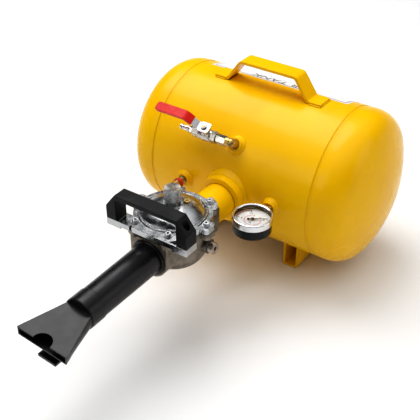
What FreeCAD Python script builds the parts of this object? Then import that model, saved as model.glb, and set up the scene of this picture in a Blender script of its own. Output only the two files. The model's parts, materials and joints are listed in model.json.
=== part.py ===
"""Bead seater tank: a small air receiver with a dump valve, a barrel and a flat nozzle.

The pieces are drawn about the tank's own axis: X runs along the tank, Y from the nozzle
to the back, Z up. On saving they move to the part frame, whose origin is on the floor,
below the middle of the whole object.
"""
import FreeCAD, Part
import math
import os

V = FreeCAD.Vector
X, Y, Z = V(1, 0, 0), V(0, 1, 0), V(0, 0, 1)
FRONT = V(0, -1, 0)

# ---- driving dimensions, in millimetres ----
TANK_R = 125.0            # outside radius of the receiver
TANK_WALL = 3.0
SHELL_END = 140.6         # half length of the rolled shell
HEAD_START = 146.0        # where each dished head's outer skin begins
HEAD_TANGENT = 157.8      # where its straight flange ends
HEAD_DEPTH = 61.2
HEAD_KNUCKLE = 42.0
LIP_END = 132.0           # where the head's drawn-in edge ends, inside the shell
FLOOR_Z = -147.0          # underside of the feet
FOOT_X = 92.0
FOOT_HALF_LENGTH = 70.0

PIPE_Z = -8.5             # height of the outlet, the barrel and the nozzle
PIPE_R = 24.15            # 1 1/2 inch pipe
PIPE_BORE_R = 20.0
OUTLET_BUNG_R = 37.0
OUTLET_MOUTH_Y = -143.0
SMALL_BUNG_R = 11.5
SMALL_THREAD_R = 6.6      # 1/4 inch pipe thread

VALVE_Y = -261.0          # vertical axis of the dump valve
FLANGE_TOP_Z = 26.0
RUBBER = 2.0              # thickness of the diaphragm sheet
COVER_Z = FLANGE_TOP_Z + RUBBER
COVER_TOP_Z = 36.0
COVER_BOLT_R = 57.5
FLANGE_R = 57.0            # round part of the flange, cover and diaphragm
LUG_REACH, LUG_HALF = 67.0, 11.0
INLET_FACE_Y = -195.0
OUTLET_FACE_Y = -320.0

NOZZLE_BACK_Y = -465.0
NOZZLE_TIP_Y = -533.0
NOZZLE_HALF_WIDTH = 41.5
NOZZLE_SKIN = 2.0
NOZZLE_ROLL = 6.0         # degrees the screwed-on nozzle stands round from level
PLATE_BACK = 10.4         # height of the nozzle's flat plate over the pipe's axis: at the back,
PLATE_FRONT = 6.6         # and at the mouth
MOUTH_UNDER = -7.0        # underside of the mouth, from the same axis
BARREL_END_R = 23.2       # the barrel tapers a little towards the nozzle

GAUGE_AT = V(81.5, -177.0, 0)
FILL_ANGLE = math.radians(34.5)
FILL_REACH = 144.0        # from the tank's axis to the middle of the filling elbow
BALL_X = -38.0            # stem of the ball valve

RUN = 0.05                # radial clearance of a running fit

# Part frame: on the floor, midway between the back of the tank and the nozzle's tip.
TO_PART_FRAME = V(0, -(TANK_R + NOZZLE_TIP_Y) / 2, -FLOOR_Z)


# ---- drawing helpers ----
def placed(shape, at=V(0, 0, 0), along=Z, across=None):
    """Carry a shape's own Z to `along` and its own X as near as it can to `across`."""
    z = V(along).normalize()
    if across is None:
        across = X if abs(z.x) < 0.9 else Z
    y = z.cross(across).normalize()
    x = y.cross(z)
    matrix = FreeCAD.Matrix(x.x, y.x, z.x, at.x, x.y, y.y, z.y, at.y, x.z, y.z, z.z, at.z, 0, 0, 0, 1)
    moved = shape.copy()
    moved.transformShape(matrix, True)
    return moved


def outline(points, lift):
    """Closed wire. A point ("arc", middle, end) bends from the last point through middle."""
    edges = []
    first = last = lift(*points[0])
    for point in points[1:]:
        if point[0] == "arc":
            middle, end = lift(*point[1]), lift(*point[2])
            edges.append(Part.Arc(last, middle, end).toShape())
        else:
            end = lift(*point)
            edges.append(Part.makeLine(last, end))
        last = end
    if last.distanceToPoint(first) > 1e-6:
        edges.append(Part.makeLine(last, first))
    return Part.Wire(edges)


def turned(points, at=V(0, 0, 0), along=Z):
    """Solid of revolution: points are (radius, height) about `along`."""
    face = Part.Face(outline(points, lambda r, h: V(r, 0, h)))
    return placed(face.revolve(V(0, 0, 0), Z, 360), at, along)


def prism(points, low, high, at=V(0, 0, 0), along=Z, across=None):
    """An outline raised from height `low` to `high` along `along`."""
    face = Part.Face(outline(points, lambda a, b: V(a, b, low)))
    return placed(face.extrude(V(0, 0, high - low)), at, along, across)


def rod(radius, low, high, at=V(0, 0, 0), along=Z):
    return placed(Part.makeCylinder(radius, high - low, V(0, 0, low)), at, along)


def tube(outer, inner, low, high, at=V(0, 0, 0), along=Z):
    return turned([(inner, low), (outer, low), (outer, high), (inner, high)], at, along)


def hexagon(flats):
    corner = flats / math.sqrt(3)
    return [(corner * math.cos(a), corner * math.sin(a)) for a in (math.pi * k / 3 for k in range(6))]


def hex_bar(flats, low, high, at=V(0, 0, 0), along=Z, chamfer=0.8):
    """Hexagon whose corners are turned down at both ends, as on a nut."""
    corner = flats / math.sqrt(3)
    bar = prism(hexagon(flats), low, high)
    skim = turned([(0, low), (corner - chamfer, low), (corner, low + 0.6 * chamfer),
                   (corner, high - 0.6 * chamfer), (corner - chamfer, high), (0, high)])
    return placed(bar.common(skim), at, along)


def box(x0, x1, y0, y1, z0, z1):
    return Part.makeBox(x1 - x0, y1 - y0, z1 - z0, V(x0, y0, z0))


def joined(shapes):
    whole = shapes[0].multiFuse(shapes[1:]) if len(shapes) > 1 else shapes[0]
    return whole.removeSplitter()


def coil(radius, wire, low, high, turns, at=V(0, 0, 0), along=Z):
    """Compression spring between two heights, with its wire just clear of both."""
    start, rise = low + wire / 2 + RUN, high - low - wire - 2 * RUN
    helix = Part.makeHelix(rise / turns, rise, radius)
    section = Part.Wire(Part.makeCircle(wire / 2, V(radius, 0, 0), Y))
    spring = Part.Wire(helix).makePipeShell([section], True, True)
    spring = Part.Solid(spring) if spring.ShapeType == "Shell" else spring
    spring.translate(V(0, 0, start))
    return placed(spring, at, along)


def rounded_path(points, bend):
    """Edges of an open path in the XZ plane, with every corner rounded to its own radius."""
    edges = []
    last = V(points[0][0], 0, points[0][1])
    for before, corner, after, radius in zip(points, points[1:], points[2:], bend):
        c = V(corner[0], 0, corner[1])
        to_before = (V(before[0], 0, before[1]) - c).normalize()
        to_after = (V(after[0], 0, after[1]) - c).normalize()
        half = to_before.getAngle(to_after) / 2
        cut = radius / math.tan(half)
        start, end = c + to_before * cut, c + to_after * cut
        middle = c + (to_before + to_after).normalize() * (radius / math.sin(half) - radius)
        edges += [Part.makeLine(last, start), Part.Arc(start, middle, end).toShape()]
        last = end
    edges.append(Part.makeLine(last, V(points[-1][0], 0, points[-1][1])))
    return edges


def strap(points, bend, thickness, half_width):
    """Bent flat bar in the XZ plane. `points` follow its upper side, from left to right."""
    lower = []
    for k, (x, z) in enumerate(points):
        ends = [V(points[j][0] - points[i][0], 0, points[j][1] - points[i][1]).normalize()
                for i, j in ((k - 1, k), (k, k + 1)) if i >= 0 and j < len(points)]
        normals = [V(d.z, 0, -d.x) for d in ends]
        mean = normals[0] + normals[-1]
        shift = mean * (2 * thickness / (mean.Length ** 2))
        lower.append((x + shift.x, z + shift.z))
    over, under = [], []
    for before, corner, after in zip(points, points[1:], points[2:]):
        turn = (corner[0] - before[0]) * (after[1] - corner[1]) - (corner[1] - before[1]) * (after[0] - corner[0])
        over.append(bend + thickness if turn < 0 else bend)
        under.append(bend if turn < 0 else bend + thickness)
    top, low = rounded_path(points, over), rounded_path(lower, under)
    ends = [Part.makeLine(V(points[i][0], 0, points[i][1]), V(lower[i][0], 0, lower[i][1])) for i in (0, -1)]
    wire = Part.Wire(Part.__sortEdges__(top + low + ends))
    bar = Part.Face(wire).extrude(V(0, 2 * half_width, 0))
    bar.translate(V(0, -half_width, 0))
    return bar


pieces = {}


def keep(name, *solids):
    """Name one piece. Several solids make one node, as for a set of screws."""
    pieces[name] = solids[0] if len(solids) == 1 else Part.makeCompound(list(solids))


# ---- receiver: shell, two dished heads, their welds, handle, feet and label ----
RECEIVER = rod(TANK_R, -HEAD_TANGENT, HEAD_TANGENT, along=X)
SMALL_MOUTH = 133.0       # from the tank's axis to the mouth of a small bung
WELD_LEG = 5.0

FILL_DIR = V(0, -math.cos(FILL_ANGLE), math.sin(FILL_ANGLE))
RELIEF_AT = V(-78, 0, -6)
# name: (point on the bung's axis, direction out, radius, thread radius, height of the mouth)
bungs = {
    "outlet": (V(0, 0, PIPE_Z), FRONT, OUTLET_BUNG_R, PIPE_R, -OUTLET_MOUTH_Y),
    "gauge": (V(GAUGE_AT.x, 0, 0), FRONT, SMALL_BUNG_R, SMALL_THREAD_R, SMALL_MOUTH),
    "relief": (RELIEF_AT, FRONT, SMALL_BUNG_R, SMALL_THREAD_R, SMALL_MOUTH),
    "fill": (V(4, 0, 0), FILL_DIR, SMALL_BUNG_R, SMALL_THREAD_R, SMALL_MOUTH),
}


def make_receiver():
    inner = TANK_R - TANK_WALL
    shell = tube(TANK_R, inner, -SHELL_END, SHELL_END, along=X)
    couplings, welds = {}, []
    for name, (at, along, radius, thread, mouth) in bungs.items():
        root = math.sqrt(TANK_R ** 2 - radius ** 2) - TANK_WALL - 4
        shell = shell.cut(rod(radius, root, mouth, at, along))
        edge = 1.2
        couplings[name] = turned([(thread, root), (radius, root), (radius, mouth - edge), (radius - edge, mouth),
                                  (thread + edge, mouth), (thread, mouth - edge)], at, along)
        foot, top = root + 2, TANK_R + WELD_LEG
        bead = turned([(radius, foot), (radius + 2.2 * WELD_LEG, foot),
                       ("arc", (radius + 0.65 * WELD_LEG, TANK_R), (radius, top))], at, along)
        welds.append(bead.cut(RECEIVER))
    keep("tank_shell", shell)
    keep("outlet_bung", couplings.pop("outlet"))
    keep("small_bungs", *couplings.values())
    keep("bung_welds", *[solid for weld in welds for solid in weld.Solids])

    seams = []
    lip = inner - TANK_WALL
    for name, side in (("head_left", -X), ("head_right", X)):
        outside = turned([(0, HEAD_START), (TANK_R, HEAD_START), (TANK_R, HEAD_TANGENT)]
                         + dish(TANK_R, HEAD_DEPTH, HEAD_KNUCKLE), along=side)
        # The head's edge is drawn in by its own thickness and slips inside the shell.
        edge = rod(inner, LIP_END, HEAD_START, along=side)
        inside = turned([(0, LIP_END - 1), (lip, LIP_END - 1), (lip, HEAD_START + 1), (inner, HEAD_START + 4),
                         (inner, HEAD_TANGENT)] + dish(inner, HEAD_DEPTH - TANK_WALL, HEAD_KNUCKLE - TANK_WALL),
                        along=side)
        keep(name, joined([outside, edge]).cut(inside))
        seams.append(turned([(inner, SHELL_END), (TANK_R - 0.4, SHELL_END),
                             ("arc", (TANK_R - 1.3, (SHELL_END + HEAD_START) / 2), (TANK_R - 0.4, HEAD_START)),
                             (inner, HEAD_START)], along=side))
    keep("seam_welds", *seams)


def dish(radius, depth, knuckle):
    """Half section of a dished head above its straight flange: a knuckle, then the crown to the pole."""
    across = radius - knuckle
    crown = (across ** 2 + depth ** 2 - knuckle ** 2) / (2 * (depth - knuckle))
    meet = math.asin(across / (crown - knuckle))
    low = HEAD_TANGENT + depth - crown

    def on_knuckle(angle):
        return (across + knuckle * math.sin(angle), HEAD_TANGENT + knuckle * math.cos(angle))

    def on_crown(angle):
        return (crown * math.sin(angle), low + crown * math.cos(angle))
    return [("arc", on_knuckle((meet + math.pi / 2) / 2), on_knuckle(meet)),
            ("arc", on_crown(meet / 2), (0, HEAD_TANGENT + depth))]


def make_handle_and_feet():
    # Carry handle: a flat bar, bent to a bridge, whose two flanges are welded along the crown.
    top, flange = 162.4, TANK_R + 3.2
    bar = strap([(-96, flange), (-74, flange), (-50.5, top), (50.5, top), (74, flange), (96, flange)],
                5.0, 4.4, 15.0)
    keep("carry_handle", bar.cut(RECEIVER))

    # Feet: channels whose webs are cut to the tank's curve.
    half, wall, corner = 13.5, 3.5, 6.0
    rise = -FLOOR_Z - 95
    outer = [(-half, rise), (-half, corner), ("arc", (-half + 0.293 * corner, 0.293 * corner), (-half + corner, 0)),
             (half - corner, 0), ("arc", (half - 0.293 * corner, 0.293 * corner), (half, corner)), (half, rise)]
    tight = corner - wall
    inside = half - wall
    inner = [(-inside, rise), (-inside, corner), ("arc", (-inside + 0.293 * tight, wall + 0.293 * tight),
                                                  (-inside + tight, wall)),
             (inside - tight, wall), ("arc", (inside - 0.293 * tight, wall + 0.293 * tight), (inside, corner)),
             (inside, rise)]
    for name, x in (("foot_left", -FOOT_X), ("foot_right", FOOT_X)):
        at = V(x, 0, FLOOR_Z)
        channel = prism(outer, -FOOT_HALF_LENGTH, FOOT_HALF_LENGTH, at, FRONT, X)
        channel = channel.cut(prism(inner, -FOOT_HALF_LENGTH, FOOT_HALF_LENGTH, at, FRONT, X))
        keep(name, channel.cut(RECEIVER))

    # Label: a thin sheet that lies on the back of the tank, from just behind the handle.
    thick, first, sweep = 0.4, 9.0, 58.0
    crown = math.radians(90 - first)
    low_edge = math.radians(90 - first - sweep)
    middle = (crown + low_edge) / 2
    inside, outside = TANK_R, TANK_R + thick

    def on_tank(radius, angle):
        return (radius * math.cos(angle), radius * math.sin(angle))
    section = [on_tank(outside, crown), ("arc", on_tank(outside, middle), on_tank(outside, low_edge)),
               on_tank(inside, low_edge), ("arc", on_tank(inside, middle), on_tank(inside, crown))]
    sheet = Part.Face(outline(section, lambda y, z: V(-126, y, z))).extrude(V(250, 0, 0))
    keep("label", sheet)


# ---- dump valve ----
VALVE = V(0, VALVE_Y, 0)
PIPE = V(0, 0, PIPE_Z)


def star(radius, lug_reach, lug_half):
    """Outline solid maker: a disc with six rounded lugs, one for each cover screw."""
    def raised(low, high):
        parts = [rod(radius, low, high, VALVE)]
        for k in range(6):
            lug = box(0, lug_reach, -lug_half, lug_half, low, high)
            corners = [e for e in lug.Edges if abs(e.tangentAt(0).z) > 0.9 and e.Vertexes[0].X > 1]
            lug = lug.makeFillet(5.0, corners)
            lug.rotate(V(0, 0, 0), Z, 60 * k)
            lug.translate(VALVE)
            parts.append(lug)
        return joined(parts)
    return raised


def bolt_places():
    return [V(COVER_BOLT_R * math.cos(math.radians(60 * k)),
              VALVE_Y + COVER_BOLT_R * math.sin(math.radians(60 * k)), 0) for k in range(6)]


def boss(half, near, far):
    """Port block: round below the pipe's axis, straight-sided up to the flange."""
    shape = [(-half, FLANGE_TOP_Z - 6 - PIPE_Z), (-half, 0), ("arc", (0, -half), (half, 0)),
             (half, FLANGE_TOP_Z - 6 - PIPE_Z)]
    return prism(shape, near, far, PIPE, FRONT, X)


def make_valve_body():
    flange = star(FLANGE_R, LUG_REACH, LUG_HALF)(FLANGE_TOP_Z - 8, FLANGE_TOP_Z)
    bowl = turned([(0, -46), (22, -46), ("arc", (41, -36), (51, -12)), ("arc", (54, 4), (56, FLANGE_TOP_Z - 6)),
                   (0, FLANGE_TOP_Z - 6)], VALVE)
    outlet = boss(31.5, -VALVE_Y, -OUTLET_FACE_Y)
    inlet = boss(35, -INLET_FACE_Y, -VALVE_Y)
    plug_boss = rod(11, 45, 60, V(0, -255, -4), X)
    body = joined([bowl, flange, outlet, inlet, plug_boss])

    seat_z = FLANGE_TOP_Z - 10
    open_above = rod(50, seat_z, FLANGE_TOP_Z, VALVE)
    ring_low = tube(50, 27, seat_z - 3, seat_z, VALVE)
    ring_back = tube(47, 27, -24, seat_z, VALVE).cut(box(-60, 60, -340, -258, -60, 60))
    well = rod(21, PIPE_Z, seat_z, VALVE).fuse(Part.makeSphere(21, V(0, VALVE_Y, PIPE_Z)))
    outlet_bore = rod(PIPE_BORE_R, -VALVE_Y, -OUTLET_FACE_Y, PIPE, FRONT)
    outlet_socket = rod(PIPE_R, -OUTLET_FACE_Y - 18, -OUTLET_FACE_Y, PIPE, FRONT)
    inlet_bore = rod(PIPE_BORE_R, -INLET_FACE_Y, -VALVE_Y - 26, PIPE, FRONT)
    inlet_socket = rod(PIPE_R, -INLET_FACE_Y, -INLET_FACE_Y + 20, PIPE, FRONT)
    plug_hole = rod(6, 53, 60, V(0, -255, -4), X)
    screw_holes = [rod(2.5, 10, FLANGE_TOP_Z, place) for place in bolt_places()]
    body = body.cut(joined([open_above, ring_low, ring_back, well, outlet_bore, outlet_socket]))
    body = body.cut(joined([inlet_bore, inlet_socket]))
    for hole in screw_holes + [plug_hole]:
        body = body.cut(hole)
    keep("valve_body", body)

    # Plug in the valve's spare port: a round head with a hexagon socket.
    plug = turned([(0, 53), (6, 53), (6, 60), (8.8, 60), (8.8, 68), (8, 69), (0, 69)])
    plug = plug.cut(prism(hexagon(6.5), 62, 69))
    keep("port_plug", placed(plug, V(0, -255, -4), X))


def make_outlet_pipe():
    keep("outlet_pipe", turned([(PIPE_BORE_R, 124), (PIPE_R, 124), (PIPE_R, -OUTLET_MOUTH_Y),
                                (27.5, -OUTLET_MOUTH_Y), (27.5, -INLET_FACE_Y), (PIPE_R, -INLET_FACE_Y),
                                (PIPE_R, -INLET_FACE_Y + 20), (PIPE_BORE_R, -INLET_FACE_Y + 20)], PIPE, FRONT))


DOME_CEILING = 46.5
GUIDE_TOP = 55.0
SEAT_TOP = FLANGE_TOP_Z - 10


def make_cover():
    plate = star(FLANGE_R, LUG_REACH, LUG_HALF)(COVER_Z, COVER_TOP_Z)
    bar = box(-69.4, 69.4, -324.4, -300.4, COVER_Z, COVER_TOP_Z)
    ears = [box(min(s * 45, s * 69.4), max(s * 45, s * 69.4), -324.4, -300.4, 25, COVER_Z) for s in (-1, 1)]
    dome = turned([(0, COVER_Z), (52, COVER_Z), (52, 36), (50.5, 36), (50.2, 37.4), (49.2, 38.2), (48, 38.2),
                   (46.9, 36.6), (46.1, 36.6), (45.2, 38.6), ("arc", (31, 47.2), (15, 51.2)),
                   (14.6, 52.3), (0, 52.3)], VALVE)
    vent, vent_seat = V(15.4, VALVE_Y + 13.4, 0), 51.6
    vent_boss = rod(6.4, 44, vent_seat, vent)
    cover = joined([plate, bar] + ears + [dome, vent_boss])
    hollow = turned([(0, COVER_Z), (44, COVER_Z), (42, 36), ("arc", (28, 43.4), (13, DOME_CEILING)),
                     (0, DOME_CEILING)], VALVE)
    cover = cover.cut(hollow)
    cover = cover.cut(rod(9, 40, 60, VALVE)).cut(rod(2.5, 40, vent_seat + 1, vent))
    for place in bolt_places():
        cover = cover.cut(rod(2.8, COVER_Z - 1, COVER_TOP_Z + 1, place))
    for side in (-1, 1):
        cover = cover.cut(rod(2.5, 27, 37, V(61 * side, -312.4, 0)))
        # A three-cornered pocket lightens the bar between each handle foot and the next screw.
        pocket = [(49.5 * side, -321.5), (38 * side, -321.5), (49.5 * side, -306)]
        cover = cover.cut(prism(pocket, COVER_TOP_Z - 4.5, COVER_TOP_Z + 1))
    # Two slots in the front edge, left by the casting's feeders.
    for x in (-27, 12):
        cover = cover.cut(box(x - 2.2, x + 2.2, -325, -321, COVER_Z - 1, COVER_TOP_Z + 1))
    keep("valve_cover", cover)

    screws = [joined([rod(2.5, 12, COVER_TOP_Z, p),
                      turned([(0, COVER_TOP_Z), (6, COVER_TOP_Z), (6, 37), (4.6, 37), (4.6, 40), (3.8, 41), (0, 41)], p)])
              .cut(prism(hexagon(4), 38.6, 42, p)) for p in bolt_places()]
    keep("cover_screws", *screws)

    plug_top = vent_seat + 3.6
    keep("vent_plug", joined([rod(2.5, 46, vent_seat, vent), hex_bar(9, vent_seat, plug_top, vent),
                              rod(2.6, plug_top, plug_top + 1.4, vent)]).cut(rod(1.1, 45, 60, vent)))


def make_diaphragm():
    low, high = FLANGE_TOP_Z, COVER_Z
    rim = star(FLANGE_R, LUG_REACH, LUG_HALF)(low, high).cut(rod(50, low - 1, high + 1, VALVE))
    for place in bolt_places():
        rim = rim.cut(rod(2.8, low - 1, high + 1, place))
    keep("diaphragm_rim", rim)
    # The sheet's working part hangs to the seat; its outer edge meets the clamped rim.
    sheet_low = SEAT_TOP + 3
    sheet = turned([(4, sheet_low), (33.5, sheet_low), (46.5, low), (50, low), (50, high), (46, high),
                    (33, sheet_low + RUBBER), (4, sheet_low + RUBBER)], VALVE)
    keep("diaphragm_sheet", sheet)
    keep("seat_disc", tube(30, 4, SEAT_TOP, sheet_low, VALVE))
    keep("diaphragm_plate", turned([(4, 21), (32, 21), (32, 23), (17, 23), (17, 24.5), (4, 24.5)], VALVE))
    keep("diaphragm_bolt", turned([(0, 11.5), (7, 11.5), (7, SEAT_TOP), (4, SEAT_TOP), (4, 24.5), (6.5, 24.5),
                                   (6.5, 27.5), (0, 27.5)], VALVE))
    keep("diaphragm_spring", coil(13.2, 2.2, 24.5, DOME_CEILING, 4, VALVE))


def make_push_button():
    keep("button_guide", turned([(4 + RUN, 44), (9, 44), (9, 52.3), (9.9, 52.3), (9.9, GUIDE_TOP),
                                 (4 + RUN, GUIDE_TOP)], VALVE))
    keep("button_stem", turned([(0, 39), (6.5, 39), (6.5, 42.4), (4, 42.4), (4, 76), (0, 76)], VALVE))
    keep("button_seal", tube(6.4, 4, 42.4, 44 - RUN, VALVE))
    keep("button_cap", turned([(4, 74.5), (10.4, 74.5), (10.4, 57.6), (11.4, 57.6), (12.2, 58.4), (12.2, 77.2),
                               (11.4, 78), (0, 78), (0, 76), (4, 76)], VALVE))
    keep("button_spring", coil(7.6, 1.4, GUIDE_TOP, 74.5, 5, VALVE))


def make_grip_handle():
    outer, inner, top, bar = 69.4, 52.0, 78.0, 71.0
    shape = [(-outer, 36), (-outer, 57), (-53.5, top), (53.5, top), (outer, 57), (outer, 36), (inner, 36),
             (inner, bar - 3), ("arc", (inner - 0.88, bar - 0.88), (inner - 3, bar)),
             (-inner + 3, bar), ("arc", (-inner + 0.88, bar - 0.88), (-inner, bar - 3)), (-inner, 36)]
    grip = prism(shape, 301.0, 324.2, V(0, 0, 0), FRONT, X)
    rims = [e for e in grip.Edges if e.BoundBox.ZMin > 56 and e.Length > 15]
    grip = grip.makeFillet(1.2, rims)
    screws = []
    for side in (-1, 1):
        at = V(61 * side, -312.4, 0)
        grip = grip.cut(rod(5.2, 50, 80, at)).cut(rod(2.8, 30, 55, at))
        head = joined([rod(2.5, 27, 50, at), rod(4.3, 50, 55, at)]).cut(prism(hexagon(4), 52.4, 56, at))
        screws.append(head)
    keep("grip_handle", grip)
    keep("grip_screws", *screws)


def make_barrel_and_nozzle():
    keep("barrel_ring", turned([(PIPE_R, 320), (28.2, 320), (28.2, 322.4), (27, 323.6), (PIPE_R, 323.6)], PIPE, FRONT))
    wall, taper_start, sleeve_start, barrel_end = 2.2, 326, 438, 458
    keep("barrel_tube", turned([(PIPE_R - wall, 302), (PIPE_R, 302), (PIPE_R, taper_start),
                                (BARREL_END_R, sleeve_start), (BARREL_END_R, barrel_end),
                                (BARREL_END_R - wall, barrel_end), (BARREL_END_R - wall, sleeve_start),
                                (PIPE_R - wall, taper_start)], PIPE, FRONT))

    # The nozzle: a sleeve on the barrel, then a half-round section that spreads to a flat mouth.
    # Heights are counted from the pipe's axis; the whole nozzle is then turned a few degrees.
    back = -NOZZLE_BACK_Y
    sleeve_r = BARREL_END_R + 1.0
    sleeve = turned([(BARREL_END_R, sleeve_start), (sleeve_r - 0.6, sleeve_start), (sleeve_r, sleeve_start + 0.8),
                     (sleeve_r, back - 1.5), (sleeve_r - 0.9, back), (0, back), (0, barrel_end + 1),
                     (BARREL_END_R, barrel_end + 1)], PIPE, FRONT)
    section = BARREL_END_R - 0.4
    outer = duct(section, 0, 0)
    inner = duct(section - NOZZLE_SKIN, NOZZLE_SKIN, 0.4)
    throat = prism(half_round(section - NOZZLE_SKIN, PLATE_BACK - NOZZLE_SKIN), 455, back, PIPE, FRONT, X)
    tip = joined([sleeve, outer]).cut(throat.fuse(inner))
    notch = rod(14, PIPE_Z, PIPE_Z + PLATE_FRONT + 4, V(0, NOZZLE_TIP_Y, 0))
    nozzle = tip.cut(notch)

    # Hook under the tip: a pad on the underside, a web down from it and a foot forward, for the rim.
    under = PIPE_Z + MOUTH_UNDER
    pad_low, low, thick = under - 3.5, PIPE_Z - 35.5, 4.0
    web_y, foot_y = NOZZLE_TIP_Y + 20, NOZZLE_TIP_Y + 7
    side_view = [(web_y, under), (web_y, low + thick), (foot_y, low + thick), (foot_y, low),
                 (web_y + thick, low), (web_y + thick, under)]
    web = Part.Face(outline(side_view, lambda y, z: V(-15, y, z))).extrude(V(30, 0, 0))
    pad = box(-29, 15, NOZZLE_TIP_Y - 1, NOZZLE_TIP_Y + 26, pad_low, under + 4)
    pad = pad.cut(rod(9, low, under, V(-4, NOZZLE_TIP_Y - 5, 0)))
    hook = joined([web, pad]).cut(outer).cut(inner)
    hook = max(hook.Solids, key=lambda solid: solid.Volume)
    hook = hook.cut(box(-30, 30, NOZZLE_TIP_Y - 2, NOZZLE_TIP_Y + 30, under, PIPE_Z + 20))
    for name, shape in (("nozzle", nozzle), ("rim_hook", hook)):
        shape.rotate(PIPE, Y, NOZZLE_ROLL)
        keep(name, shape)


def half_round(radius, flat):
    """D section below a flat at height `flat`, centred on the pipe; its sides are split low down."""
    wide = math.sqrt(radius ** 2 - flat ** 2)
    turn = math.radians(-48)
    low = (radius * math.cos(turn), radius * math.sin(turn))
    side = (radius, 0.0)
    return [(-wide, flat), (wide, flat), ("arc", side, low), ("arc", (0, -radius), (-low[0], low[1])),
            ("arc", (-side[0], 0), (-wide, flat))]


def duct(radius, skin, extra):
    """Loft from the half-round section at the back to the flat, round-cornered slot of the mouth."""
    back, front = -NOZZLE_BACK_Y, -NOZZLE_TIP_Y + extra
    start = outline(half_round(radius, PLATE_BACK - skin), lambda a, b: V(a, b, back))
    wide, top, under = NOZZLE_HALF_WIDTH - skin, PLATE_FRONT - skin, MOUTH_UNDER + skin
    mouth = outline([(-wide, top), (wide, top), (wide - 1, under), (1 - wide, under)], lambda a, b: V(a, b, front))
    return placed(Part.makeLoft([start, mouth], True, True), PIPE, FRONT, X)


# ---- filling line: elbow, adapter, ball valve, air plug ----
FILL = V(4, FILL_DIR.y * FILL_REACH, FILL_DIR.z * FILL_REACH)
LINE = V(0, FILL.y, FILL.z)              # the line's axis runs along X through this point
STEM_DIR = V(0, -0.5, math.sqrt(0.75))
BALL = V(BALL_X, FILL.y, FILL.z)
BALL_R, BALL_BORE = 7.6, 4.2
SEAT_R, SEAT_FAR = 6.8, 8.6   # outer radius of the ball's seats, and how far out they reach
STEM_R = 2.6
BODY_RIGHT, BODY_SPLIT, BODY_LEFT = -22.0, BALL_X - SEAT_FAR, -65.0


def on_line(shape):
    """Move a shape drawn about Z, with Z counted as -X, onto the filling line."""
    return placed(shape, LINE, -X, STEM_DIR)


def make_fill_line():
    thread_in = 119.0
    leg = turned([(4, thread_in), (SMALL_THREAD_R, thread_in), (SMALL_THREAD_R, SMALL_MOUTH), (7.6, 133.6), (7.6, 144),
                  (4, 144)], V(4, 0, 0), FILL_DIR)
    arm = rod(7.6, -4, 4.5).fuse(rod(SMALL_THREAD_R, 4.5, 14))
    elbow = joined([leg, on_line(arm), Part.makeSphere(8.0, FILL)])
    elbow = elbow.cut(rod(4, thread_in - 1, FILL_REACH, V(4, 0, 0), FILL_DIR))
    elbow = elbow.cut(on_line(rod(4, -4, 15))).cut(Part.makeSphere(4, FILL))
    keep("fill_elbow", elbow)

    thread_end = 28.4         # short of the ball's near seat
    adapter = joined([hex_bar(14, 4.5, 20), rod(SMALL_THREAD_R, 20, thread_end)])
    adapter = adapter.cut(rod(SMALL_THREAD_R, 4, 14)).cut(rod(4, 13, 31))
    keep("hex_adapter", on_line(adapter))

    barrel = turned([(0, 30), (9.0, 30), (9.9, 32.5), (9.9, 45), (9.5, -BODY_SPLIT), (0, -BODY_SPLIT)])
    body = on_line(joined([hex_bar(16.8, -BODY_RIGHT, 31), barrel]))
    tower = rod(5.6, 0, 17, BALL, STEM_DIR)
    body = joined([body, tower])
    cavity = joined([Part.makeSphere(BALL_R + 0.4, BALL), rod(SEAT_R, -SEAT_FAR, SEAT_FAR, BALL, -X)])
    body = body.cut(cavity).cut(on_line(rod(SMALL_THREAD_R, 21, thread_end)))
    body = body.cut(on_line(rod(BALL_BORE, 20, -BODY_SPLIT)))
    body = body.cut(rod(STEM_R + RUN, 5, 18, BALL, STEM_DIR))
    keep("ball_valve_body", body)

    end = joined([turned([(0, -BODY_SPLIT), (9.5, -BODY_SPLIT), (8.6, 53), (0, 53)]), hex_bar(15.4, 53, -BODY_LEFT)])
    end = on_line(end).cut(on_line(rod(BALL_BORE, 40, 57))).cut(on_line(rod(SMALL_THREAD_R, 56, 66)))
    keep("ball_valve_end", end)

    seat = tube(SEAT_R, BALL_BORE + 0.2, 4.6, SEAT_FAR).cut(Part.makeSphere(BALL_R + RUN, V(0, 0, 0)))
    seat = max(seat.Solids, key=lambda solid: solid.Volume)
    keep("ball_seats", placed(seat, BALL, X), placed(seat, BALL, -X))

    slot = rod(STEM_R, 5, 12, BALL, STEM_DIR)
    keep("valve_ball", Part.makeSphere(BALL_R, BALL).cut(rod(BALL_BORE, -12, 12, BALL, X)).cut(slot))
    keep("ball_stem", rod(STEM_R, 5, 27.5, BALL, STEM_DIR))
    keep("gland_nut", hex_bar(10.5, 17, 20.4, BALL, STEM_DIR, 0.5).cut(rod(STEM_R + RUN, 16, 21, BALL, STEM_DIR)))

    plug = turned([(2.6, 57), (SMALL_THREAD_R, 57), (SMALL_THREAD_R, -BODY_LEFT), (2.6, -BODY_LEFT)])
    collar = hex_bar(11.4, -BODY_LEFT, 70).cut(rod(2.6, 60, 75))
    nose = turned([(2.6, 70), (4.4, 70), (4.4, 72), (5.4, 73.2), (5.4, 75.2), (4.4, 76.6), (4.4, 82.4), (3.4, 83.6),
                   (3.4, 85.4), (4.3, 86.6), (4.3, 89), (3.7, 90), (2.6, 90)])
    keep("air_plug", on_line(joined([plug, collar, nose])))


LEVER_LOW, LEVER_THICK = 21.0, 2.4


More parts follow.
